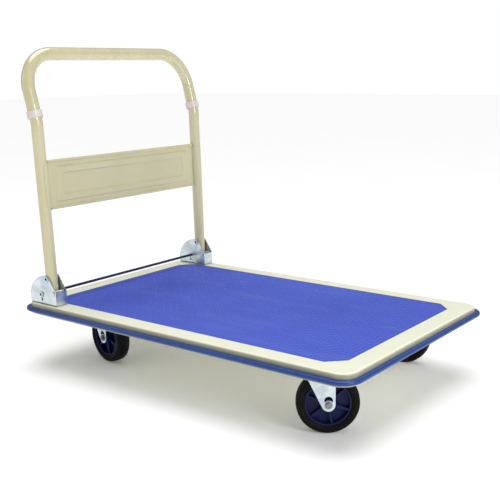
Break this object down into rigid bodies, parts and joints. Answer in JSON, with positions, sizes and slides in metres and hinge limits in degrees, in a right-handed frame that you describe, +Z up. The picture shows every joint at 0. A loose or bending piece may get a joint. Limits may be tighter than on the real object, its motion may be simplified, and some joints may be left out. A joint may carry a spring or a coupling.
{
  "type": "flatbed platform truck",
  "caption": "Flatbed platform truck with an anti-slip deck mat, wraparound bumper, swivel castors and a fold-down push handle with back panel.",
  "frame": {"origin": "on the floor, below the middle of the deck", "axes": "+Z up, +X along the deck away from the handle, +Y across"},
  "size_m": [0.914, 0.586, 0.7234],
  "materials": {
    "deck_paint": "satin baked enamel",
    "handle_paint": "satin baked enamel",
    "grip": "glossy sleeve",
    "collar": "satin moulded ring",
    "mat": "matt ribbed rubber",
    "bumper": "satin soft rubber",
    "zinc": "bright zinc plate",
    "dark_steel": "dark satin coat",
    "hub": "moulded plastic",
    "tyre": "matt solid rubber"
  },
  "bodies": {
    "deck": {"deck_pan": "deck_paint", "deck_mat": "mat", "bumper_strip": "bumper", "cross_rail_front": "deck_paint", "cross_rail_rear": "deck_paint", "castor_fixings": "zinc", "hinge_bracket_right": "zinc", "hinge_bracket_left": "zinc", "bracket_bolts": "zinc", "pivot_rivets": "zinc", "stop_pins": "zinc", "castor_plate_front_right": "zinc", "castor_plate_front_left": "zinc", "castor_plate_rear_right": "zinc", "castor_plate_rear_left": "zinc", "kingpin_front_right": "zinc", "kingpin_front_left": "zinc", "kingpin_rear_right": "zinc", "kingpin_rear_left": "zinc"},
    "handle": {"handle_tube": "handle_paint", "grip_sleeve": "grip", "grip_collar_right": "collar", "grip_collar_left": "collar", "back_panel": "handle_paint"},
    "release": {"release_bar": "dark_steel", "release_nuts": "zinc"},
    "castor_front_right": {"fork_front_right": "zinc", "axle_front_right": "zinc"},
    "wheel_front_right": {"hub_front_right": "hub", "tyre_front_right": "tyre"},
    "castor_front_left": {"fork_front_left": "zinc", "axle_front_left": "zinc"},
    "wheel_front_left": {"hub_front_left": "hub", "tyre_front_left": "tyre"},
    "castor_rear_right": {"fork_rear_right": "zinc", "axle_rear_right": "zinc"},
    "wheel_rear_right": {"hub_rear_right": "hub", "tyre_rear_right": "tyre"},
    "castor_rear_left": {"fork_rear_left": "zinc", "axle_rear_left": "zinc"},
    "wheel_rear_left": {"hub_rear_left": "hub", "tyre_rear_left": "tyre"}
  },
  "joints": [
    {"name": "handle_fold", "type": "hinge", "parent": "deck", "child": "handle", "pos_m": [-0.368, 0, 0.2122], "axis": [0, 1, 0], "range_deg": [0, 96]},
    {"name": "release_press", "type": "slide", "parent": "deck", "child": "release", "axis": [0, 0, 1], "range_m": [-0.0115, 0], "stiffness_N_per_m": 1200, "springref_m": 0.01},
    {"name": "swivel_front_right", "type": "hinge", "parent": "deck", "child": "castor_front_right", "pos_m": [0.326, -0.235, 0.125], "axis": [0, 0, 1], "continuous": true},
    {"name": "roll_front_right", "type": "hinge", "parent": "castor_front_right", "child": "wheel_front_right", "pos_m": [0.35752, -0.21037, 0.061], "axis": [-0.6157, 0.788, 0], "continuous": true},
    {"name": "swivel_front_left", "type": "hinge", "parent": "deck", "child": "castor_front_left", "pos_m": [0.326, 0.235, 0.125], "axis": [0, 0, 1], "continuous": true},
    {"name": "roll_front_left", "type": "hinge", "parent": "castor_front_left", "child": "wheel_front_left", "pos_m": [0.28615, 0.23151, 0.061], "axis": [0.0872, -0.9962, 0], "continuous": true},
    {"name": "swivel_rear_right", "type": "hinge", "parent": "deck", "child": "castor_rear_right", "pos_m": [-0.328, -0.156, 0.125], "axis": [0, 0, 1], "continuous": true},
    {"name": "roll_rear_right", "type": "hinge", "parent": "castor_rear_right", "child": "wheel_rear_right", "pos_m": [-0.28861, -0.16295, 0.061], "axis": [0.1736, 0.9848, 0], "continuous": true},
    {"name": "swivel_rear_left", "type": "hinge", "parent": "deck", "child": "castor_rear_left", "pos_m": [-0.328, 0.156, 0.125], "axis": [0, 0, 1], "continuous": true},
    {"name": "roll_rear_left", "type": "hinge", "parent": "castor_rear_left", "child": "wheel_rear_left", "pos_m": [-0.36559, 0.16968, 0.061], "axis": [-0.342, -0.9397, 0], "continuous": true}
  ]
}
